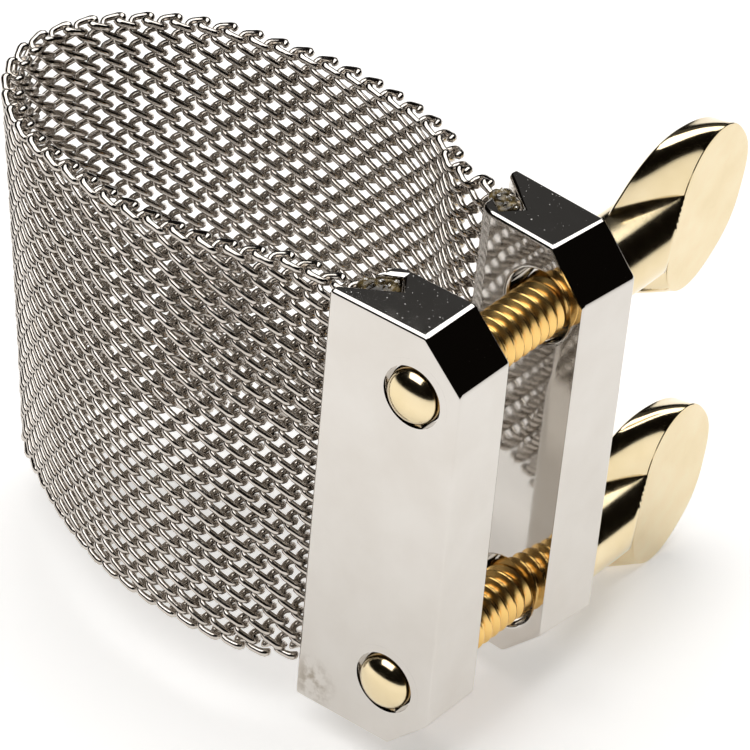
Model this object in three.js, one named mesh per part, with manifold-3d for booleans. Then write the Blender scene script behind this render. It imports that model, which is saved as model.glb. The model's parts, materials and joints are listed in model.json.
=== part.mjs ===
// Saxophone ligature: a band of woven wire goes round the mouthpiece, and its two ends are bonded into
// slotted metal bars, which two thumbscrews draw together.
//
// Millimetres, +Z up. The origin is on the mouthpiece's axis, level with the lower ends of the bars.
// +X runs from the loop to the bars, and +Y runs from the near bar to the far bar, along the screws.

import * as THREE from "three";
import { mergeVertices } from "three/addons/utils/BufferGeometryUtils.js";
import Module from "manifold-3d";

// ---- Driving dimensions ----

const BAR_LENGTH = 29;
const BAR_WIDTH = 9.5;
const BAR_THICKNESS = 4.7;
const BAR_CORNER_CUT = 2.7;
const BAR_END_X = 13; // from the mouthpiece's axis to the loop-side end of the bars
const BAR_INNER_ROUNDING = 1.1; // the corner that faces the mouthpiece
const NEAR_OUTER_Y = -9;
const FAR_CENTRE_Y = 5.1;
const FAR_SWING = THREE.MathUtils.degToRad(-4.4); // the far bar swings on its loose screw holes
const FAR_LEAN = THREE.MathUtils.degToRad(-1);

const SLOT_MOUTH = [0.3, 1.75]; // from the bar's loop-side outer edge, along its width and its thickness
const SLOT_ANGLE = THREE.MathUtils.degToRad(35);
const SLOT_WIDTH = 1.5;
const SLOT_DEPTH = 2.9;

const BAND_LOW_Z = 2.2;
const BAND_HIGH_Z = 28.7;
const BAND_THICKNESS = 0.9;
const BAND_END_DEPTH = 1.7; // how far the band reaches into the slot
const BAND_END_THICKNESS = 0.8;
const BAND_END_REACH = 2.6; // the length of band that stays with the bar
const STRIPS_PER_SIDE = 12;
const CLEARANCE = 0.3; // between neighbouring pieces
const BOND_THICKNESS = 0.6;
const BOND_WIDTH = 0.9;

const SCREW_OFFSET = 6.25; // from the bar's loop-side end
const SCREW_SPACING = 20.4;
const THREAD_RADIUS = 1.75;
const TAPPED_RADIUS = 2.05;
const PASSAGE_RADIUS = 2.3;
const TIP_Y = -9.8;
const TIP_DOME = 1.0;
const NECK_RADIUS = 2.5;
const NECK_START_Y = 8.2;
const NECK_END_Y = 15.4;
const HEAD_THICKNESS = 1.8;
const HEAD_BULGE_END_Y = 16.2;
const UPPER_HEAD_TURN = THREE.MathUtils.degToRad(6.5);
const LOWER_HEAD_TURN = THREE.MathUtils.degToRad(5);

// Half of the head's outline: distance along the screw from the origin, and half-height.
const HEAD_OUTLINE = [
  [15.2, 0],
  [15.4, 2.4],
  [16.2, 4.6],
  [17.2, 5.8],
  [18.6, 6.2],
  [20.2, 5.2],
  [21.5, 3.0],
  [22, 0],
];

// Half of the band's middle line, from the bar round to the point farthest from the bars: X, and the
// distance from the middle plane. The upper and lower edges differ, and so do the necks beside each bar.
const UPPER_NECK_NEAR = [
  [12.4, 7.5],
  [10.8, 7.5],
  [9.3, 7.6],
  [7.9, 8.2],
  [6, 9.0],
];
const UPPER_NECK_FAR = [
  [12.4, 6.35],
  [10.9, 6.4],
  [9.6, 7.0],
  [8.4, 8.1],
  [6.2, 9.1],
];
const UPPER_ROUND = [
  [3, 9.7],
  [-0.5, 9.95],
  [-5, 9.4],
  [-10, 8.0],
  [-13.6, 5.2],
  [-15.2, 2.6],
  [-15.7, 0],
];
const LOWER_NECK_NEAR = [
  [12.75, 7.8],
  [11.5, 8.9],
  [9.8, 9.8],
  [7.4, 10.2],
];
const LOWER_NECK_FAR = [
  [12.6, 6.6],
  [11.5, 8.0],
  [9.6, 9.2],
  [7.2, 9.9],
];
const LOWER_ROUND = [
  [4, 10.2],
  [-0.5, 9.6],
  [-4.5, 8.1],
  [-9.2, 5.5],
  [-12.4, 3.2],
  [-14.3, 0],
];

// ---- Materials ----

const nickel = { color: 0xd8d5d0, metalness: 1, roughness: 0.08 };
const gold = { color: 0xe9b95a, metalness: 1, roughness: 0.1 };
const steel = { color: 0xb9b6b0, metalness: 1, roughness: 0.3 };
const amber = { color: 0xa08a55, metalness: 0, roughness: 0.25 };

// ---- Solids ----

const wasm = await Module();
wasm.setup();

// A three.js geometry as a solid that can be cut and joined.
function solidOf(geometry) {
  const bare = geometry.clone();
  bare.deleteAttribute("normal");
  bare.deleteAttribute("uv");
  const merged = mergeVertices(bare, 1e-4);
  const vertProperties = new Float32Array(merged.attributes.position.array);
  const triVerts = new Uint32Array(merged.index.array);
  return new wasm.Manifold(new wasm.Mesh({ numProp: 3, vertProperties, triVerts }));
}

function geometryOf(solid) {
  const mesh = solid.getMesh();
  const geometry = new THREE.BufferGeometry();
  geometry.setAttribute("position", new THREE.BufferAttribute(mesh.vertProperties, 3));
  geometry.setIndex(new THREE.BufferAttribute(mesh.triVerts, 1));
  geometry.computeVertexNormals();
  return geometry;
}

function named(name, geometry, look) {
  const mesh = new THREE.Mesh(geometry, new THREE.MeshStandardMaterial(look));
  mesh.name = name;
  return mesh;
}

// A cylinder along Y that is centred on the given X and Z.
function rodAlongY(radius, length, x, z) {
  const rod = new THREE.CylinderGeometry(radius, radius, length, 32);
  return rod.translate(x, 0, z);
}

// ---- Bars ----
// A bar's own frame: X from its loop-side end, Y from its outer face inwards, Z from its lower end.

const slotAlong = new THREE.Vector2(Math.cos(SLOT_ANGLE), Math.sin(SLOT_ANGLE));
const slotAcross = new THREE.Vector2(-slotAlong.y, slotAlong.x);

// A point in the slot: its depth from the mouth, and its offset towards the inner lip.
function slotPoint(depth, across) {
  const point = new THREE.Vector2(...SLOT_MOUTH);
  point.addScaledVector(slotAlong, depth);
  return point.addScaledVector(slotAcross, across);
}

function slottedSection() {
  const half = SLOT_WIDTH / 2;
  const outerLip = slotPoint(0, -half);
  outerLip.addScaledVector(slotAlong, -outerLip.x / slotAlong.x);
  const section = new THREE.Shape();
  section.moveTo(0, 0);
  section.lineTo(BAR_WIDTH, 0);
  section.lineTo(BAR_WIDTH, BAR_THICKNESS);
  section.lineTo(2.2, BAR_THICKNESS);
  section.quadraticCurveTo(2.2 - BAR_INNER_ROUNDING, BAR_THICKNESS, 1.05, 3.6);
  const innerLip = slotPoint(1.1, half);
  section.lineTo(innerLip.x, innerLip.y);
  for (const corner of [slotPoint(SLOT_DEPTH, half), slotPoint(SLOT_DEPTH, -half), outerLip]) {
    section.lineTo(corner.x, corner.y);
  }
  section.closePath();
  return section;
}

// The prism that takes a 45-degree corner off the far end of the bar's width.
function cornerCutter(z) {
  const side = BAR_CORNER_CUT * Math.SQRT2;
  const cutter = new THREE.BoxGeometry(side, 3 * BAR_THICKNESS, side);
  return cutter.rotateY(Math.PI / 4).translate(BAR_WIDTH, 0, z);
}

const screwHeights = {
  lower: (BAR_LENGTH - SCREW_SPACING) / 2,
  upper: (BAR_LENGTH + SCREW_SPACING) / 2,
};

function barGeometry(holeRadius) {
  const blank = new THREE.ExtrudeGeometry(slottedSection(), {
    depth: BAR_LENGTH,
    bevelEnabled: false,
    curveSegments: 5,
  });
  let solid = solidOf(blank);
  for (const z of [0, BAR_LENGTH]) {
    solid = solid.subtract(solidOf(cornerCutter(z)));
  }
  for (const z of Object.values(screwHeights)) {
    solid = solid.subtract(solidOf(rodAlongY(holeRadius, 4 * BAR_THICKNESS, SCREW_OFFSET, z)));
  }
  return geometryOf(solid);
}

// The near bar stands straight. The far bar is its mirror image, swung and leaning about its own centre.
const nearPlace = new THREE.Matrix4().makeTranslation(BAR_END_X, NEAR_OUTER_Y, 0);
const farPlace = new THREE.Matrix4()
  .makeTranslation(BAR_END_X + SCREW_OFFSET, FAR_CENTRE_Y, BAR_LENGTH / 2)
  .multiply(new THREE.Matrix4().makeRotationZ(FAR_SWING))
  .multiply(new THREE.Matrix4().makeRotationX(FAR_LEAN))
  .multiply(new THREE.Matrix4().makeScale(1, -1, 1))
  .multiply(new THREE.Matrix4().makeTranslation(-SCREW_OFFSET, -BAR_THICKNESS / 2, -BAR_LENGTH / 2));

// Bakes a placement into the geometry, and turns the faces round again after a mirroring one.
function placed(geometry, place) {
  const result = geometry.clone().applyMatrix4(place);
  if (place.determinant() < 0) {
    const corners = result.index.array;
    for (let i = 0; i < corners.length; i += 3) {
      [corners[i + 1], corners[i + 2]] = [corners[i + 2], corners[i + 1]];
    }
    result.computeVertexNormals();
  }
  return result;
}

// The bead of solder at the bottom of a slot, behind the end of the band.
function bondGeometry() {
  const depth = BAND_END_DEPTH + CLEARANCE + BOND_THICKNESS / 2;
  const centre = slotPoint(depth, 0);
  const height = BAND_HIGH_Z - BAND_LOW_Z;
  const bead = new THREE.BoxGeometry(BOND_THICKNESS, BOND_WIDTH, height);
  bead.rotateZ(SLOT_ANGLE);
  return bead.translate(centre.x, centre.y, BAND_LOW_Z + height / 2);
}

// ---- Band ----

// A side of the band: its two edge curves run from inside the bar's slot to the apex of the loop.
function edgeCurve(side, z, neck, round) {
  const inSlot = [BAND_END_DEPTH, BAND_END_DEPTH / 2, 0].map((depth) => {
    const point = slotPoint(depth, 0);
    return new THREE.Vector3(point.x, point.y, z).applyMatrix4(side.place).setZ(z);
  });
  const free = [...neck, ...round].map(([x, y]) => new THREE.Vector3(x, side.sign * y, z));
  const beyond = round.at(-2);
  const past = new THREE.Vector3(beyond[0], -side.sign * beyond[1], z);
  const whole = new THREE.CatmullRomCurve3([...inSlot, ...free, past], false, "centripetal");
  const apexShare = (inSlot.length + free.length - 1) / (inSlot.length + free.length);
  const points = [];
  for (let i = 0; i <= 400; i++) {
    points.push(whole.getPoint((apexShare * i) / 400));
  }
  return points;
}

// The length along a dense polyline, and the point and outward direction at a share of that length.
function measured(points, sign) {
  const reach = [0];
  for (let i = 1; i < points.length; i++) {
    reach.push(reach[i - 1] + points[i].distanceTo(points[i - 1]));
  }
  const length = reach.at(-1);
  function at(share) {
    const target = Math.min(Math.max(share, 0), 1) * length;
    let i = 1;
    while (i < points.length - 1 && reach[i] < target) {
      i += 1;
    }
    const part = (target - reach[i - 1]) / (reach[i] - reach[i - 1]);
    const point = points[i - 1].clone().lerp(points[i], part);
    const ahead = points[i].clone().sub(points[i - 1]).normalize();
    const outward = new THREE.Vector3(-ahead.y, ahead.x, 0).multiplyScalar(-sign);
    return { point, outward };
  }
  return { length, at };
}

function bandSide(name, sign, place, upperNeck, lowerNeck) {
  const side = { name, sign, place };
  side.upper = measured(edgeCurve(side, BAND_HIGH_Z, upperNeck, UPPER_ROUND), sign);
  side.lower = measured(edgeCurve(side, BAND_LOW_Z, lowerNeck, LOWER_ROUND), sign);
  return side;
}

// A flat plate of the band between two shares of its length, bent to lie on the ruled surface.
function stripGeometry(side, from, to, thickness, steps) {
  const height = BAND_HIGH_Z - BAND_LOW_Z;
  const plate = new THREE.BoxGeometry(1, thickness, height, steps, 1, 2);
  const position = plate.attributes.position;
  for (let i = 0; i < position.count; i++) {
    const share = from + (to - from) * (position.getX(i) + 0.5);
    const low = side.lower.at(share);
    const high = side.upper.at(share);
    const depth = position.getY(i);
    const rise = position.getZ(i) / height + 0.5;
    const bottom = low.point.addScaledVector(low.outward, depth);
    const top = high.point.addScaledVector(high.outward, depth);
    bottom.lerp(top, rise);
    position.setXYZ(i, bottom.x, bottom.y, bottom.z);
  }
  return outwardFacing(plate);
}

// Turns a closed geometry's faces so that they point out.
function outwardFacing(geometry) {
  const solid = solidOf(geometry);
  if (solid.volume() >= 0) {
    return geometryOf(solid);
  }
  const corners = geometry.index.array;
  for (let i = 0; i < corners.length; i += 3) {
    [corners[i + 1], corners[i + 2]] = [corners[i + 2], corners[i + 1]];
  }
  return geometryOf(solidOf(geometry));
}

// The shares of a side's length where one piece ends and the next begins.
function stripEdges(side) {
  const length = (side.upper.length + side.lower.length) / 2;
  const first = BAND_END_REACH / length;
  const edges = [first];
  for (let i = 1; i <= STRIPS_PER_SIDE; i++) {
    edges.push(first + ((1 - first) * i) / STRIPS_PER_SIDE);
  }
  return { edges, margin: CLEARANCE / 2 / length };
}

function bandMeshes(side) {
  const { edges, margin } = stripEdges(side);
  const end = stripGeometry(side, 0, edges[0] - margin, BAND_END_THICKNESS, 4);
  const meshes = [named(`${side.name}_band_end`, end, steel)];
  for (let i = 0; i < STRIPS_PER_SIDE; i++) {
    const strip = stripGeometry(side, edges[i] + margin, edges[i + 1] - margin, BAND_THICKNESS, 2);
    meshes.push(named(`${side.name}_band_strip_${String(i + 1).padStart(2, "0")}`, strip, steel));
  }
  return meshes;
}

// ---- Thumbscrews ----

// The turned part: domed tip, threaded shank (at its outer diameter), neck and swelling into the head.
function turnedProfile() {
  const profile = [];
  for (let i = 0; i <= 5; i++) {
    const turn = ((i / 5) * Math.PI) / 2;
    profile.push(new THREE.Vector2(THREAD_RADIUS * Math.sin(turn), TIP_Y + TIP_DOME * (1 - Math.cos(turn))));
  }
  profile.push(new THREE.Vector2(THREAD_RADIUS, NECK_START_Y));
  profile.push(new THREE.Vector2(NECK_RADIUS, NECK_START_Y));
  profile.push(new THREE.Vector2(NECK_RADIUS, (NECK_START_Y + NECK_END_Y) / 2));
  profile.push(new THREE.Vector2(HEAD_THICKNESS / 2, HEAD_BULGE_END_Y));
  profile.push(new THREE.Vector2(0, HEAD_BULGE_END_Y));
  return profile;
}

// The flat oval head, in the plane of the screw's axis and a line across it.
function headPlate() {
  const half = HEAD_OUTLINE.map(([along, across]) => new THREE.Vector2(across, along));
  const other = half.slice(1, -1).map((point) => new THREE.Vector2(-point.x, point.y));
  const rim = new THREE.SplineCurve([...half, ...other.reverse(), half[0]]);
  const outline = new THREE.Shape(rim.getPoints(40).slice(0, -1));
  const plate = new THREE.ExtrudeGeometry(outline, { depth: HEAD_THICKNESS, bevelEnabled: false });
  return plate.translate(0, 0, -HEAD_THICKNESS / 2);
}

function screwGeometry(headTurn) {
  const turned = new THREE.LatheGeometry(turnedProfile(), 32);
  const solid = solidOf(turned).add(solidOf(headPlate()));
  const screw = geometryOf(solid);
  return screw.rotateY(Math.PI / 2 + headTurn - Math.PI);
}

// ---- Assembly ----

const ligature = new THREE.Group();

const nearBar = barGeometry(TAPPED_RADIUS);
const farBar = barGeometry(PASSAGE_RADIUS);
ligature.add(named("near_bar", placed(nearBar, nearPlace), nickel));
ligature.add(named("far_bar", placed(farBar, farPlace), nickel));
ligature.add(named("near_bond", placed(bondGeometry(), nearPlace), amber));
ligature.add(named("far_bond", placed(bondGeometry(), farPlace), amber));

const sides = [
  bandSide("near", -1, nearPlace, UPPER_NECK_NEAR, LOWER_NECK_NEAR),
  bandSide("far", 1, farPlace, UPPER_NECK_FAR, LOWER_NECK_FAR),
];
for (const side of sides) {
  ligature.add(...bandMeshes(side));
}

const screwTurns = { lower: LOWER_HEAD_TURN, upper: UPPER_HEAD_TURN };
for (const [level, turn] of Object.entries(screwTurns)) {
  const screw = named(`${level}_thumbscrew`, screwGeometry(turn), gold);
  screw.position.set(BAR_END_X + SCREW_OFFSET, 0, screwHeights[level]);
  ligature.add(screw);
}

export default ligature;
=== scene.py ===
"""Looks of the saxophone ligature: woven wire band, slotted bars and thumbscrews.

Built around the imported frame, in metres. Sizes below are in millimetres and are turned into metres by MM.
"""

import json
import math

import bmesh
import bpy
import numpy as np
from mathutils import Euler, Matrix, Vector
from mathutils import noise as mathnoise


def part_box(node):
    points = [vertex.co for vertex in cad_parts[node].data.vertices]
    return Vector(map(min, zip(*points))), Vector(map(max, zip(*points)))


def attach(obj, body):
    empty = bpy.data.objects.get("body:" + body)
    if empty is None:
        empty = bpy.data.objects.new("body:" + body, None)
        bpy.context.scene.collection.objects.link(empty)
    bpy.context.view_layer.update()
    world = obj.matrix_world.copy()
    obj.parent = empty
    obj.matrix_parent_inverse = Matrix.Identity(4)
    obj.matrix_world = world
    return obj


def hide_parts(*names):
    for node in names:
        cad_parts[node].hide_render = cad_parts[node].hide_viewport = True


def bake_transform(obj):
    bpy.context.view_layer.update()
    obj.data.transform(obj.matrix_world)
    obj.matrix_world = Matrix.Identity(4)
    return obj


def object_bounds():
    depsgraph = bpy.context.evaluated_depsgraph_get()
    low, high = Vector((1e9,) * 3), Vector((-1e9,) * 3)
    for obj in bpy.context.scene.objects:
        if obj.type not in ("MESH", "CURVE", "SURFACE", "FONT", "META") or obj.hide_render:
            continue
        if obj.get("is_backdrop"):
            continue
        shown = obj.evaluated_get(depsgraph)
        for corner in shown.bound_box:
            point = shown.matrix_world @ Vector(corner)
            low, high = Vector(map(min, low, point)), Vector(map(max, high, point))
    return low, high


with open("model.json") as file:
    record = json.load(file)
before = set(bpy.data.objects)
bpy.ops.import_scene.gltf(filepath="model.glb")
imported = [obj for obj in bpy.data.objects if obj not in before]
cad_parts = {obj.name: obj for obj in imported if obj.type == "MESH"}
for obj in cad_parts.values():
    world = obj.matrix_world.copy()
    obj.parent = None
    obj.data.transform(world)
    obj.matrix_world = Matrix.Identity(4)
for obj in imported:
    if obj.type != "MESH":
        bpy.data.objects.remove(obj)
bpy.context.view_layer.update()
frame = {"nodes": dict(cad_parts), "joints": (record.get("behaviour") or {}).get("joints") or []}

MM = 0.001

# ---- Driving dimensions, in millimetres ----

WIRE_SPACING = 0.8
WIRE_DIAMETER = 0.42
WIRE_HALF_WIDTH = 0.64  # of a spiral's centreline, along the band
WIRE_HALF_DEPTH = 0.46  # of a spiral's centreline, across the band
WIRE_FLATTENING = 0.14  # share of the third harmonic that squares the spiral off
WIRE_HALF_TURNS = 31
STEPS_PER_HALF_TURN = 9
WIRE_SIDES = 8
WIRE_END_SWELL = (0.6, 1.2, 1.25, 1.15, 1.05)  # thickness of the fused end, ring by ring

THREAD_PITCH = 0.794
THREAD_RADIUS = 1.75
THREAD_DEPTH = 0.36
THREAD_CLEARANCE = 0.07  # between the screw's thread and the tapped one
THREAD_PROFILE = ((0.0, 0.0), (0.1, 0.06), (0.4, 0.94), (0.5, 1.0), (0.6, 0.94), (0.9, 0.06), (1.0, 0.0))
THREAD_STEPS = 40  # in one turn
THREAD_COLOUR = (0.92, 0.60, 0.21)
TIP_Y = -9.8
DOME_HEIGHT = 1.0
DOME_RADIUS = 1.72
SHANK_END_Y = 8.6

NECK_START_Y = 8.2
NECK_RADIUS = 2.5
NECK_CUT_START_Y = 12.2  # where the slanting flat leaves the round neck
NECK_END_Y = 17.5  # hidden inside the head
FACE_START_Y = 15.3
FACE_OFFSET = 0.9  # the head's flat face, in front of the screw's axis
RIM_OFFSET = -0.95  # the head's widest line behind the face
BACK_OFFSET = -1.9
EDGE_ROUNDING = 0.09
RIM_BULGE = 0.02
HEAD_TURNS = {"upper": math.radians(6.5), "lower": math.radians(5)}
HEAD_CENTRE_Y = 17.6
OUTLINE_STEPS = 64  # on each half
SCREW_SIDES = 56

# Half outlines of the head: distance along the screw, and half-width.
FACE_OUTLINE = (
    (15.3, 0.0),
    (15.3, 1.5),
    (15.35, 2.8),
    (15.65, 4.0),
    (16.3, 5.2),
    (17.2, 5.9),
    (18.3, 6.1),
    (19.4, 5.7),
    (20.5, 4.7),
    (21.4, 3.4),
    (21.9, 1.8),
    (22.0, 0.0),
)
RIM_OUTLINE = (
    (10.0, 0.0),
    (10.05, 1.3),
    (10.4, 2.4),
    (11.1, 3.25),
    (11.8, 4.0),
    (12.6, 4.65),
    (13.5, 5.2),
    (14.6, 5.6),
    (15.8, 5.75),
    (17.2, 5.65),
    (18.6, 5.35),
    (20.1, 4.65),
    (21.3, 3.5),
    (21.8, 1.9),
    (21.9, 0.0),
)

# The camera's place and turn, in millimetres and degrees, and its lens, also in millimetres.
CAMERA_PLACE = (159.05, -213.2, 203.67)
CAMERA_TURN = (54.204, -4.314, 37.997)
CAMERA_LENS = 264

WORLD_COLOUR = (1.0, 0.8, 0.62)
WORLD_STRENGTH = 0.004
FLOOR_GLOW = 0.4
STAIN_PLACE = (14.1, -9.0, 1.6)
STAIN_REACH = 2.0
FLOOR_HALF_SIZE = 3.0  # in metres

BAR_BEVEL = 0.26
BEVEL_FROM_ANGLE = math.radians(25)  # gentler edges stay as they are
CREASE_ANGLE = math.radians(28)  # steeper edges of the turned pieces are shaded sharp
LINING_RADIUS = 2.12
FLANGE_RADIUS = 2.46
FLANGE_PROUD = 0.0015
TAPPING_INSET = 0.6  # of the tapped thread's ends, from the bar's faces
COUNTERBORE = (0.16, 0.5)  # how much wider the tapped hole is at the bar's faces, and how deep that goes

BOND_RADIUS = 0.42
CRUMB_LUMP = 0.5  # how uneven a crumb is
CRUMB_SIDES = 14
FILL_REACH = (-2.1, 0.42)  # from near the slot's mouth to its bottom, past the bond's middle
FILL_HALF_SIZE = (0.74, 0.34)  # across the slot, and upright
FILL_LEVEL = -0.2  # of its middle, against the bond's top
FILL_STEPS = 60
FILL_SIDES = 28
FILL_GRAIN = 2.6  # of the noise that makes it lumpy, per millimetre
FILL_LUMP = 0.16
# Crumbs on the filling: how far in past the bond, how far across, how high above it, and radius.
CRUMBS = (
    (-1.6, 0.2, 0.04, 0.22),
    (-1.15, -0.25, 0.06, 0.18),
    (-0.7, 0.15, 0.05, 0.24),
    (-0.25, -0.2, 0.04, 0.20),
    (0.15, 0.25, 0.03, 0.22),
)


# ---- Meshes ----


def mesh_object(name, points, faces, material):
    """A new smooth object from points in millimetres."""
    mesh = bpy.data.meshes.new(name)
    mesh.from_pydata((np.asarray(points) * MM).tolist(), [], faces)
    mesh.shade_smooth()
    mesh.materials.append(material)
    piece = bpy.data.objects.new(name, mesh)
    bpy.context.scene.collection.objects.link(piece)
    return piece


def skin(rings):
    """Points and faces of a closed skin over a stack of rings, each with the same number of points."""
    rings = np.asarray(rings)
    count, sides = rings.shape[:2]
    faces = []
    for i in range(count - 1):
        low, high = i * sides, (i + 1) * sides
        for j in range(sides):
            k = (j + 1) % sides
            faces.append((low + j, low + k, high + k, high + j))
    faces.append(tuple(range(sides - 1, -1, -1)))
    faces.append(tuple(range((count - 1) * sides, count * sides)))
    return rings.reshape(-1, 3), faces


def joined(parts):
    """Several (points, faces) pairs as one."""
    points, faces, offset = [], [], 0
    for part_points, part_faces in parts:
        points.append(part_points)
        faces.extend(tuple(i + offset for i in face) for face in part_faces)
        offset += len(part_points)
    return np.concatenate(points), faces


def tube(path, radius, sides):
    """A round wire along a path, each end fused into a small bead."""
    path = np.asarray(path)
    ahead = np.gradient(path, axis=0)
    ahead /= np.linalg.norm(ahead, axis=1)[:, None]
    across = np.cross(ahead[0], (0.31, 0.52, 0.79))
    turns = np.linspace(0, 2 * math.pi, sides, endpoint=False)
    rings = []
    for i, (centre, direction) in enumerate(zip(path, ahead)):
        across = across - direction * (across @ direction)
        across /= np.linalg.norm(across)
        other = np.cross(direction, across)
        ring = np.outer(np.cos(turns), across) + np.outer(np.sin(turns), other)
        from_end = min(i, len(path) - 1 - i)
        swell = WIRE_END_SWELL[from_end] if from_end < len(WIRE_END_SWELL) else 1
        rings.append(centre + swell * radius * ring)
    return skin(rings)


# ---- Natural cubic splines ----


def spline(knots, values):
    """A function of the knot value that runs smoothly through the values."""
    knots, values = np.asarray(knots, float), np.asarray(values, float)
    gaps = np.diff(knots)
    count = len(knots)
    system = np.eye(count)
    slopes = np.zeros_like(values)
    for i in range(1, count - 1):
        system[i, i - 1 : i + 2] = gaps[i - 1], 2 * (gaps[i - 1] + gaps[i]), gaps[i]
        rise_after = (values[i + 1] - values[i]) / gaps[i]
        rise_before = (values[i] - values[i - 1]) / gaps[i - 1]
        slopes[i] = 6 * (rise_after - rise_before)
    bend = np.linalg.solve(system, slopes)

    def at(x):
        x = np.atleast_1d(x)
        i = np.clip(np.searchsorted(knots, x) - 1, 0, count - 2)
        h = gaps[i][:, None]
        after = (x - knots[i])[:, None]
        before = h - after
        cubic = (bend[i] * before**3 + bend[i + 1] * after**3) / (6 * h)
        line_before = (values[i] / h - bend[i] * h / 6) * before
        line_after = (values[i + 1] / h - bend[i + 1] * h / 6) * after
        return cubic + line_before + line_after

    return at


def lengths_along(points):
    """How far along its own chain each point is."""
    steps = np.linalg.norm(np.diff(points, axis=0), axis=1)
    return np.concatenate([[0], np.cumsum(steps)])


# ---- The band's surface, read from the CAD strips ----


def node_points(name):
    """The node's distinct corners, in millimetres."""
    found = np.array([v.co for v in frame["nodes"][name].data.vertices]) / MM
    return np.unique(found.round(3), axis=0)


def stations(name, top):
    """The middles of the node's cross-sections, along its upper or lower edge."""
    points = node_points(name)
    level = points[:, 2].max() if top else points[:, 2].min()
    edge = points[abs(points[:, 2] - level) < 0.01]
    flat = edge[:, :2] - edge[:, :2].mean(axis=0)
    direction = np.linalg.svd(flat, full_matrices=False)[2][0]
    edge = edge[np.argsort(flat @ direction)]
    return edge.reshape(-1, 2, 3).mean(axis=1)


def side_nodes(side):
    """The nodes of one side of the band, from the bar to the far point of the loop."""
    strips = sorted(n for n in frame["nodes"] if n.startswith(side + "_band_strip"))
    return [side + "_band_end", *strips]


def band_edge(top):
    """The whole loop's edge, from the near bar's slot round to the far bar's."""
    names = side_nodes("near") + side_nodes("far")
    points = np.concatenate([stations(name, top) for name in names])
    around = np.arctan2(points[:, 1], points[:, 0])
    around[around > 0] -= 2 * math.pi
    return points[np.argsort(-around)]


class Band:
    """The ruled surface between the band's two edges, by length along its middle."""

    def __init__(self):
        low, high = band_edge(top=False), band_edge(top=True)
        reach = lengths_along((low + high) / 2)
        self.length = reach[-1]
        self.low, self.high = spline(reach, low), spline(reach, high)

    def middle(self, at):
        return (self.low(at)[0] + self.high(at)[0]) / 2

    def along(self, at):
        step = 0.2
        start, end = max(at - step, 0), min(at + step, self.length)
        rise = self.middle(end) - self.middle(start)
        return rise / np.linalg.norm(rise)

    def nearest(self, point):
        """The length at which the band's middle passes nearest to a point."""
        samples = np.linspace(0, self.length, 1500)
        middles = (self.low(samples) + self.high(samples)) / 2
        return samples[np.linalg.norm(middles - np.asarray(point), axis=1).argmin()]


# ---- The woven wires ----


def wire_path(band, at, start):
    """A flattened spiral that stands at a length along the band. Its end coils lie flat."""
    low, high = band.low(at)[0], band.high(at)[0]
    inset = WIRE_DIAMETER / 2
    low[2] += inset
    high[2] -= inset
    along = band.along(at)
    outward = np.array([-along[1], along[0], 0])
    outward /= np.linalg.norm(outward)
    turned = np.linspace(0, WIRE_HALF_TURNS * math.pi, WIRE_HALF_TURNS * STEPS_PER_HALF_TURN + 1)
    total = turned[-1]
    from_end = np.minimum(turned, total - turned)
    closing = np.where(from_end < math.pi, from_end**2 / (2 * math.pi), from_end - math.pi / 2)
    drop = np.where(turned <= total / 2, closing, total - math.pi - closing)
    share = drop / (total - math.pi)
    phase = start + turned
    width = WIRE_HALF_WIDTH * np.cos(phase)
    square = np.sin(phase) + WIRE_FLATTENING * np.sin(3 * phase)
    depth = WIRE_HALF_DEPTH * square / (1 - WIRE_FLATTENING)
    centre = high + np.outer(share, low - high)
    return centre + np.outer(width, along) + np.outer(depth, outward)


def wire_places(band):
    """The length along the band, and the starting turn, of every wire."""
    count = round((band.length - WIRE_SPACING) / WIRE_SPACING)
    places = np.linspace(WIRE_SPACING / 2, band.length - WIRE_SPACING / 2, count)
    return [(at, math.pi * (i % 2)) for i, at in enumerate(places)]


def joint_place(name):
    joint = next(j for j in frame["joints"] if j["name"] == name)
    return np.array(joint["pos_m"]) / MM


def band_spans(band):
    """What each stretch of wires rides on: (name, bodies, from, to, replaced nodes)."""
    spans = []
    halfway = band.length / 2
    apex = band.nearest((min(band.low(halfway)[0][0], -1), 0, band.middle(halfway)[2]))
    for side, root in (("near", "near_frame"), ("far", "far_clamp")):
        hinges = [band.nearest(joint_place(f"{side}_hinge_{k}")) for k in range(1, 7)]
        own_end = 0 if side == "near" else band.length
        edges = [*hinges, apex]
        middles = [(a + b) / 2 for a, b in zip(edges, edges[1:])]
        reach = [own_end, *middles]
        nodes = side_nodes(side)
        for k in range(6):
            below = root if k == 0 else f"{side}_link_{k}"
            bodies = (below, f"{side}_link_{k + 1}")
            replaced = nodes[2 * k : 2 * k + 2]
            spans.append((f"{side}_mesh_{k + 1}", bodies, reach[k], reach[k + 1], replaced))
        spans.append((f"{side}_mesh_7", (f"{side}_link_6",), middles[-1], apex, nodes[12:]))
    return spans


def weave(band, material):
    wires = [
        (at, tube(wire_path(band, at, start), WIRE_DIAMETER / 2, WIRE_SIDES))
        for at, start in wire_places(band)
    ]
    for name, bodies, one, other, nodes in band_spans(band):
        low, high = min(one, other), max(one, other)
        points, faces = joined([wire for at, wire in wires if low <= at < high])
        piece = mesh_object(name, points, faces, material)
        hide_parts(*nodes)
        if len(bodies) == 1:
            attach(piece, bodies[0])
            continue
        root_end = one in (0, band.length)
        hinge = band.nearest(joint_place(name.replace("mesh", "hinge")))
        start = hinge + (hinge - other) * 0.5 if root_end else one
        band.middle(start) * MM
        band.middle(other) * MM
        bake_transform(piece)


# ---- Bars ----


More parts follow.
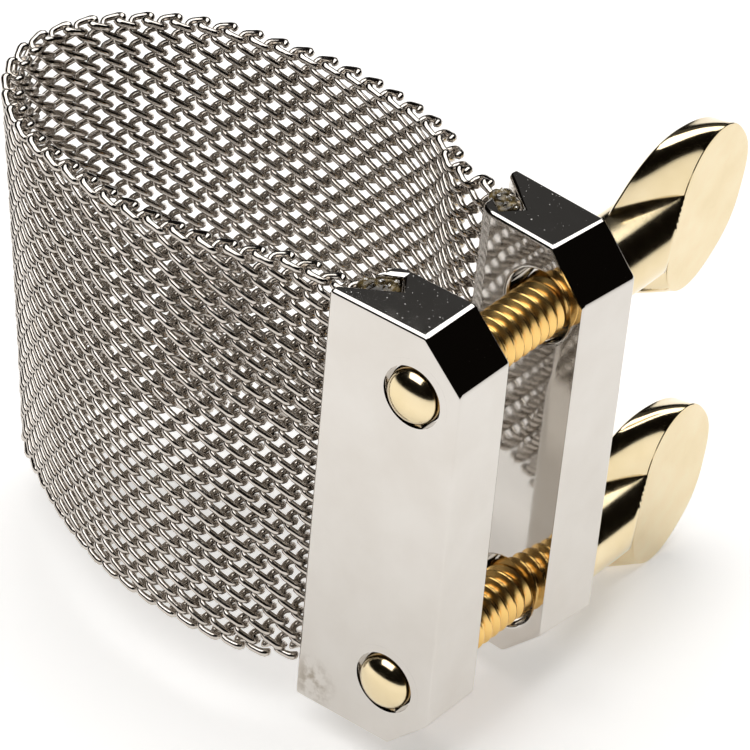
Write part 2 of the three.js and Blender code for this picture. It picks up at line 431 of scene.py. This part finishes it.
def bevelled_bar(side, body, material):
    """The CAD bar's own solid, with its facets merged and its edges rounded."""
    node = side + "_bar"
    mesh = frame["nodes"][node].data.copy()
    mesh.name = node + "_polished"
    shape = bmesh.new()
    shape.from_mesh(mesh)
    bmesh.ops.remove_doubles(shape, verts=shape.verts, dist=0.001 * MM)
    bmesh.ops.dissolve_limit(
        shape, angle_limit=math.radians(1), verts=shape.verts, edges=shape.edges
    )
    shape.to_mesh(mesh)
    shape.free()
    mesh.shade_smooth()
    mesh.materials.clear()
    mesh.materials.append(material)
    piece = bpy.data.objects.new(mesh.name, mesh)
    bpy.context.scene.collection.objects.link(piece)
    bevel = piece.modifiers.new("rounded edges", "BEVEL")
    bevel.width = BAR_BEVEL * MM
    bevel.segments = 3
    bevel.limit_method = "ANGLE"
    bevel.angle_limit = BEVEL_FROM_ANGLE
    bevel.use_clamp_overlap = False
    flatten = piece.modifiers.new("flat faces", "WEIGHTED_NORMAL")
    flatten.weight = 100
    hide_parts(node)
    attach(piece, body)


# ---- Thumbscrews ----


def screw_rings(places, radii):
    """Round rings about the screw's axis, in its own frame: X and Z across, Y along."""
    turns = np.linspace(0, 2 * math.pi, SCREW_SIDES, endpoint=False)
    ring = np.stack([np.sin(turns), np.zeros(SCREW_SIDES), np.cos(turns)], axis=1)
    return np.array([radius * ring + (0, along, 0) for along, radius in zip(places, radii)])


def helix(start, end, base, peak, shift=0.0):
    """A right-hand thread: a ribbon a pitch wide, wound from start to end and fading out at both."""
    steps = round((end - start) / THREAD_PITCH * THREAD_STEPS)
    width = len(THREAD_PROFILE)
    points, faces = [], []
    for i in range(steps + 1):
        turn = 2 * math.pi * (i / THREAD_STEPS - shift)
        fade = min(1, i / THREAD_STEPS, (steps - i) / THREAD_STEPS)
        for place, height in THREAD_PROFILE:
            radius = base + (peak - base) * height * fade
            along = start + (i / THREAD_STEPS + place - 0.5) * THREAD_PITCH
            points.append((radius * math.sin(turn), along, radius * math.cos(turn)))
    for i in range(steps):
        for j in range(width - 1):
            k = i * width + j
            faces.append((k, k + 1, k + width + 1, k + width))
    return np.array(points), faces


def shank():
    """Domed tip and plain core, with the thread wound on it."""
    root = THREAD_RADIUS - THREAD_DEPTH
    shoulder = TIP_Y + DOME_HEIGHT
    rise = np.linspace(0.06, math.pi / 2, 14)
    places = [*(shoulder - DOME_HEIGHT * np.cos(rise)), shoulder + 0.5, shoulder + 0.7, SHANK_END_Y]
    radii = [*(DOME_RADIUS * np.sin(rise)), DOME_RADIUS, root - 0.01, root - 0.01]
    return [skin(screw_rings(places, radii)), helix(shoulder + 0.6, SHANK_END_Y, root, THREAD_RADIUS)]


def neck():
    """The round neck behind the bar, with the slanting flat that leads to the head's face."""
    turns = np.linspace(0, 2 * math.pi, 72, endpoint=False)
    slope = (NECK_RADIUS - FACE_OFFSET) / (FACE_START_Y - NECK_CUT_START_Y)
    rings = []
    for along in [NECK_START_Y, NECK_START_Y + 0.15, *np.linspace(NECK_START_Y + 0.4, NECK_END_Y, 50)]:
        radius = NECK_RADIUS - (0.15 if along == NECK_START_Y else 0)
        front, side = radius * np.cos(turns), radius * np.sin(turns)
        limit = NECK_RADIUS - slope * (along - NECK_CUT_START_Y)
        front = np.minimum(front, max(limit, FACE_OFFSET - 0.03))
        taper = np.clip((along - NECK_CUT_START_Y) / (NECK_END_Y - NECK_CUT_START_Y), 0, 1)
        back = NECK_RADIUS + (-BACK_OFFSET - NECK_RADIUS) * taper
        front = np.where(front < 0, front * back / NECK_RADIUS, front)
        rings.append(np.stack([front, np.full_like(turns, along), side], axis=1))
    return skin(rings)


def outline(half, count):
    """A smooth closed loop from half an outline: distance along, and signed width."""
    half = np.array(half)
    reach = lengths_along(half)
    curve = spline(reach, half)(np.linspace(0, reach[-1], count))
    mirrored = curve[-2:0:-1] * (1, -1)
    return np.concatenate([curve, mirrored])


def head():
    """The flat oval head: a sharp-edged face, a broad flared rim and a rounded back."""
    face, rim = outline(FACE_OUTLINE, OUTLINE_STEPS), outline(RIM_OUTLINE, OUTLINE_STEPS)
    centre = np.array([HEAD_CENTRE_Y, 0.0])

    def ring(loop, offset):
        return np.stack([np.full(len(loop), offset), loop[:, 0], loop[:, 1]], axis=1)

    def shrunk(loop, share):
        return centre + (loop - centre) * share

    rings = [ring(shrunk(face, share), FACE_OFFSET) for share in (0.3, 0.7, 0.95)]
    rings.append(ring(shrunk(face, 1 - EDGE_ROUNDING / 5), FACE_OFFSET))
    rings.append(ring(shrunk(face, 1 - EDGE_ROUNDING / 17), FACE_OFFSET - EDGE_ROUNDING * 0.3))
    rings.append(ring(face, FACE_OFFSET - EDGE_ROUNDING))
    depth = RIM_OFFSET - FACE_OFFSET + EDGE_ROUNDING
    for share in np.linspace(0.1, 1, 12):
        bulge = 1 + RIM_BULGE * math.sin(math.pi * share)
        between = face + (rim - face) * share
        rings.append(ring(shrunk(between, bulge), FACE_OFFSET - EDGE_ROUNDING + depth * share))
    for lift in np.linspace(0.12, 1.45, 11):
        offset = RIM_OFFSET + (BACK_OFFSET - RIM_OFFSET) * math.sin(lift)
        rings.append(ring(shrunk(rim, math.cos(lift)), offset))
    return skin(rings)


def screw_places():
    return {level: joint_place(f"{level}_screw_turn") for level in HEAD_TURNS}


def thumbscrew(level, axis, material):
    points, faces = joined([*shank(), neck(), head()])
    turn = HEAD_TURNS[level]
    across = points[:, 0] * math.cos(turn) + points[:, 2] * math.sin(turn)
    up = points[:, 2] * math.cos(turn) - points[:, 0] * math.sin(turn)
    placed = np.stack([axis[0] + across, points[:, 1], axis[2] + up], axis=1)
    piece = mesh_object(f"{level}_screw_threaded", placed, faces, material)
    piece.data.set_sharp_from_angle(angle=CREASE_ANGLE)
    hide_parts(f"{level}_thumbscrew")
    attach(piece, f"{level}_screw")


def tapped_lining(level, axis, material):
    """The near bar's tapped hole: a thread that closes round the screw's, and a counterbore at each face."""
    low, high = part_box("near_bar")
    start, end = low.y / MM - FLANGE_PROUD, high.y / MM + FLANGE_PROUD
    bore = THREAD_RADIUS + THREAD_CLEARANCE
    wider, depth = COUNTERBORE
    half = [(0.5, LINING_RADIUS), (0, FLANGE_RADIUS), (0, bore + wider), (depth, bore + wider), (depth, bore)]
    places = [start + inward for inward, _ in half] + [end - inward for inward, _ in reversed(half)]
    radii = [radius for _, radius in half] + [radius for _, radius in reversed(half)]
    sleeve_points, sleeve_faces = skin(screw_rings(places, radii))
    thread = helix(start + TAPPING_INSET, end - TAPPING_INSET, bore, bore - THREAD_DEPTH, shift=0.5)
    points, faces = joined([(sleeve_points, sleeve_faces[:-2]), thread])
    piece = mesh_object(f"near_bar_tapping_{level}", points + (axis[0], 0, axis[2]), faces, material)
    piece.data.set_sharp_from_angle(angle=CREASE_ANGLE)
    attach(piece, "near_frame")


# ---- Bond in the slots ----


def crumb(centre, radius):
    """A small lumpy bead."""
    rises = np.linspace(0.1, math.pi - 0.1, 10)
    turns = np.linspace(0, 2 * math.pi, CRUMB_SIDES, endpoint=False)
    rings = []
    for rise in rises:
        around, height = math.sin(rise), 0.8 * math.cos(rise)
        ring = [(around * math.cos(turn), around * math.sin(turn), height) for turn in turns]
        swell = [1 + CRUMB_LUMP * mathnoise.noise(Vector(centre) * 3 + Vector(p) * 1.7) for p in ring]
        rings.append(np.array(centre) + radius * np.array(ring) * np.array(swell)[:, None])
    return skin(rings)


def filling(upper, inward, across):
    """The bond's uneven top, which closes the slot round the band's end."""
    width, height = FILL_HALF_SIZE
    turns = np.linspace(0, 2 * math.pi, FILL_SIDES, endpoint=False)
    rings = []
    for share in np.linspace(0, 1, FILL_STEPS):
        along = FILL_REACH[0] + share * (FILL_REACH[1] - FILL_REACH[0])
        ease = max(1 - abs(2 * share - 1) ** 6, 0.02)
        centre = upper + inward * along + (0, 0, FILL_LEVEL)
        ring = []
        for turn in turns:
            side, rise = width * ease * math.cos(turn), height * ease * math.sin(turn)
            lump = mathnoise.noise(Vector((along * FILL_GRAIN, side * FILL_GRAIN, centre[1])))
            ring.append(centre + across * side + (0, 0, rise + FILL_LUMP * lump * ease))
        rings.append(np.array(ring))
    return skin(rings)


def bond(side, body, material):
    """The hardened bond along the bottom of a bar's slot and round the band's upper end."""
    node = side + "_bond"
    corners = node_points(node)
    upper = corners[corners[:, 2] > corners[:, 2].mean()].mean(axis=0)
    lower = corners[corners[:, 2] < corners[:, 2].mean()].mean(axis=0)
    end = node_points(side + "_band_end")
    inward = upper - end[end[:, 2] > end[:, 2].mean()].mean(axis=0)
    inward[2] = 0
    inward /= np.linalg.norm(inward)
    across = np.cross((0, 0, 1), inward)
    bead = tube(np.linspace(lower, upper, 40), BOND_RADIUS, 10)
    crumbs = [
        crumb(upper + inward * along + across * aside + (0, 0, rise), radius)
        for along, aside, rise, radius in CRUMBS
    ]
    points, faces = joined([bead, filling(upper, inward, across), *crumbs])
    piece = mesh_object(node + "_lumps", points, faces, material)
    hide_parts(node)
    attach(piece, body)


# ---- Materials ----


def new_material(name, **inputs):
    """A material, its node tree and its shader, with constant inputs set on the shader itself."""
    material = bpy.data.materials.new(name)
    material.use_nodes = True
    tree = material.node_tree
    shader = tree.nodes["Principled BSDF"]
    for key, value in inputs.items():
        shader.inputs[key.replace("_", " ")].default_value = value
    return material, tree, shader


def noise(tree, scale, detail=4.0, roughness=0.55):
    place = tree.nodes.new("ShaderNodeTexCoord")
    texture = tree.nodes.new("ShaderNodeTexNoise")
    texture.inputs["Scale"].default_value = scale
    texture.inputs["Detail"].default_value = detail
    texture.inputs["Roughness"].default_value = roughness
    tree.links.new(place.outputs["Object"], texture.inputs["Vector"])
    return texture.outputs["Fac"]


def ramp(tree, source, stops):
    """A colour ramp over a value: (position, colour) pairs."""
    node = tree.nodes.new("ShaderNodeValToRGB")
    elements = node.color_ramp.elements
    while len(elements) < len(stops):
        elements.new(0.5)
    for element, (position, colour) in zip(elements, stops):
        element.position = position
        element.color = (*colour, 1)
    tree.links.new(source, node.inputs["Fac"])
    return node.outputs["Color"]


def value_range(tree, source, low, high):
    node = tree.nodes.new("ShaderNodeMapRange")
    node.inputs["From Min"].default_value = 0.3
    node.inputs["From Max"].default_value = 0.7
    node.inputs["To Min"].default_value = low
    node.inputs["To Max"].default_value = high
    tree.links.new(source, node.inputs["Value"])
    return node.outputs["Result"]


def bump(tree, shader, height, strength, distance):
    node = tree.nodes.new("ShaderNodeBump")
    node.inputs["Strength"].default_value = strength
    node.inputs["Distance"].default_value = distance * MM
    tree.links.new(height, node.inputs["Height"])
    tree.links.new(node.outputs["Normal"], shader.inputs["Normal"])


def up_facing(tree):
    """One where a surface faces straight up, nothing elsewhere."""
    geometry = tree.nodes.new("ShaderNodeNewGeometry")
    split = tree.nodes.new("ShaderNodeSeparateXYZ")
    tree.links.new(geometry.outputs["Normal"], split.inputs["Vector"])
    return steps(tree, split.outputs["Z"], 0.98, 0.995)


def steps(tree, source, low, high, top=1.0):
    """A clamped rise from nothing at low to top at high."""
    node = tree.nodes.new("ShaderNodeMapRange")
    node.inputs["From Min"].default_value = low
    node.inputs["From Max"].default_value = high
    node.inputs["To Max"].default_value = top
    tree.links.new(source, node.inputs["Value"])
    return node.outputs["Result"]


def product(tree, one, other):
    node = tree.nodes.new("ShaderNodeMath")
    node.operation = "MULTIPLY"
    tree.links.new(one, node.inputs[0])
    tree.links.new(other, node.inputs[1])
    return node.outputs["Value"]


def nearness(tree, place, reach):
    """One at a place in millimetres, falling to nothing at reach."""
    coordinates = tree.nodes.new("ShaderNodeTexCoord")
    distance = tree.nodes.new("ShaderNodeVectorMath")
    distance.operation = "DISTANCE"
    distance.inputs[1].default_value = Vector(place) * MM
    tree.links.new(coordinates.outputs["Object"], distance.inputs[0])
    return steps(tree, distance.outputs["Value"], reach * MM, 0.2 * reach * MM)


def blend_colour(tree, share, below, above):
    """The colour below, turned into the colour above where the share is one."""
    node = tree.nodes.new("ShaderNodeMix")
    node.data_type = "RGBA"
    tree.links.new(share, node.inputs["Factor"])
    tree.links.new(below, node.inputs["A"])
    node.inputs["B"].default_value = (*above, 1)
    return node.outputs["Result"]


def blend_value(tree, share, below, above):
    node = tree.nodes.new("ShaderNodeMix")
    tree.links.new(share, node.inputs["Factor"])
    tree.links.new(below, node.inputs["A"])
    node.inputs["B"].default_value = above
    return node.outputs["Result"]


def nickel_material():
    """Mirror polish, with dust on the top faces and a brown stain at the near bar's lower corner."""
    material, tree, shader = new_material("polished_nickel", Metallic=1.0)
    tint = ramp(tree, noise(tree, 260, 6), ((0.3, (0.62, 0.585, 0.54)), (0.7, (0.66, 0.63, 0.59))))
    rough = value_range(tree, noise(tree, 900, 5), 0.03, 0.07)
    specks = steps(tree, noise(tree, 5200, 2), 0.71, 0.75)
    dust = product(tree, specks, up_facing(tree))
    blotches = steps(tree, noise(tree, 1500, 6), 0.42, 0.6, 0.8)
    patch = product(tree, nearness(tree, STAIN_PLACE, STAIN_REACH), blotches)
    stained = blend_colour(tree, patch, tint, (0.33, 0.28, 0.22))
    dusted = blend_colour(tree, dust, stained, (0.9, 0.88, 0.85))
    tree.links.new(dusted, shader.inputs["Base Color"])
    rough = blend_value(tree, patch, rough, 0.3)
    tree.links.new(blend_value(tree, dust, rough, 0.8), shader.inputs["Roughness"])
    bump(tree, shader, noise(tree, 420, 2), 0.12, 0.02)
    return material


def gold_material():
    """Bright gold plate, deeper in colour on the thread."""
    material, tree, shader = new_material("gold_plate", Metallic=1.0)
    tint = ramp(tree, noise(tree, 380, 6), ((0.3, (0.75, 0.615, 0.37)), (0.7, (0.82, 0.69, 0.455))))
    coordinates = tree.nodes.new("ShaderNodeTexCoord")
    split = tree.nodes.new("ShaderNodeSeparateXYZ")
    tree.links.new(coordinates.outputs["Object"], split.inputs["Vector"])
    on_thread = steps(tree, split.outputs["Y"], NECK_START_Y * MM, (NECK_START_Y - 0.5) * MM)
    past_dome = steps(tree, split.outputs["Y"], (TIP_Y + 0.9) * MM, (TIP_Y + 1.4) * MM)
    threaded = product(tree, on_thread, past_dome)
    tree.links.new(blend_colour(tree, threaded, tint, THREAD_COLOUR), shader.inputs["Base Color"])
    polish = value_range(tree, noise(tree, 1500, 5), 0.11, 0.17)
    tree.links.new(blend_value(tree, threaded, polish, 0.26), shader.inputs["Roughness"])
    bump(tree, shader, noise(tree, 2600, 4), 0.10, 0.015)
    return material


def steel_material():
    material, tree, shader = new_material("drawn_steel_wire", Metallic=1.0)
    tint = ramp(tree, noise(tree, 700, 5), ((0.3, (0.50, 0.455, 0.405)), (0.7, (0.66, 0.615, 0.565))))
    tree.links.new(tint, shader.inputs["Base Color"])
    tree.links.new(value_range(tree, noise(tree, 2400, 4), 0.09, 0.2), shader.inputs["Roughness"])
    bump(tree, shader, noise(tree, 5200, 3), 0.15, 0.01)
    return material


def bond_material():
    material, tree, shader = new_material("amber_bond", Roughness=0.08, IOR=1.5)
    shader.inputs["Transmission Weight"].default_value = 0.5
    tint = ramp(tree, noise(tree, 1800, 5), ((0.42, (0.03, 0.02, 0.008)), (0.68, (0.45, 0.33, 0.14))))
    tree.links.new(tint, shader.inputs["Base Color"])
    bump(tree, shader, noise(tree, 3200, 4), 0.5, 0.05)
    return material


def floor_material():
    material, tree, shader = new_material("pale_floor", Roughness=0.9)
    tint = ramp(tree, noise(tree, 3, 3), ((0.3, (0.93, 0.925, 0.915)), (0.7, (0.95, 0.945, 0.94))))
    tree.links.new(tint, shader.inputs["Base Color"])
    shader.inputs["Emission Color"].default_value = (1, 0.985, 0.96, 1)
    shader.inputs["Emission Strength"].default_value = FLOOR_GLOW
    return material


# ---- Stage ----


def floor(material):
    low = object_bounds()[0].z
    half = FLOOR_HALF_SIZE
    mesh = bpy.data.meshes.new("floor")
    corners = [(-half, -half, low), (half, -half, low), (half, half, low), (-half, half, low)]
    mesh.from_pydata(corners, [], [(0, 1, 2, 3)])
    mesh.materials.append(material)
    plane = bpy.data.objects.new("floor", mesh)
    bpy.context.scene.collection.objects.link(plane)
    plane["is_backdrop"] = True


def softbox(name, place, size, power, facing=(0, 0, -1)):
    """A rectangular area light at a place in metres, facing a direction."""
    light = bpy.data.lights.new(name, "AREA")
    light.shape = "RECTANGLE"
    light.size, light.size_y = size
    light.energy = power
    lamp = bpy.data.objects.new(name, light)
    bpy.context.scene.collection.objects.link(lamp)
    lamp.location = place
    if facing != (0, 0, -1):
        lamp.rotation_euler = Vector(facing).to_track_quat("-Z", "Y").to_euler()


def lighting():
    scene = bpy.context.scene
    scene.view_settings.view_transform = "Standard"
    world = bpy.data.worlds.new("studio")
    world.use_nodes = True
    background = world.node_tree.nodes["Background"]
    background.inputs["Color"].default_value = (*WORLD_COLOUR, 1)
    background.inputs["Strength"].default_value = WORLD_STRENGTH
    scene.world = world
    softbox("overhead", (-0.10, 0.015, 0.515), (0.52, 0.97), 4.0)
    softbox("back_card", (-0.33, 0.47, 0.42), (0.5, 0.5), 0.04, facing=(0.465, -0.666, -0.583))


def camera():
    data = bpy.data.cameras.new("camera")
    data.sensor_width = 36
    data.lens = CAMERA_LENS
    data.clip_start = 0.01
    data.clip_end = 20
    eye = bpy.data.objects.new("camera", data)
    bpy.context.scene.collection.objects.link(eye)
    eye.location = Vector(CAMERA_PLACE) * MM
    eye.rotation_euler = Euler(tuple(map(math.radians, CAMERA_TURN)), "XYZ")
    bpy.context.scene.camera = eye


# ---- Assembly ----

nickel, gold, steel, amber = nickel_material(), gold_material(), steel_material(), bond_material()

weave(Band(), steel)
bevelled_bar("near", "near_frame", nickel)
bevelled_bar("far", "far_clamp", nickel)
bond("near", "near_frame", amber)
bond("far", "far_clamp", amber)
for level, axis in screw_places().items():
    thumbscrew(level, axis, gold)
    tapped_lining(level, axis, nickel)

floor(floor_material())
lighting()
camera()
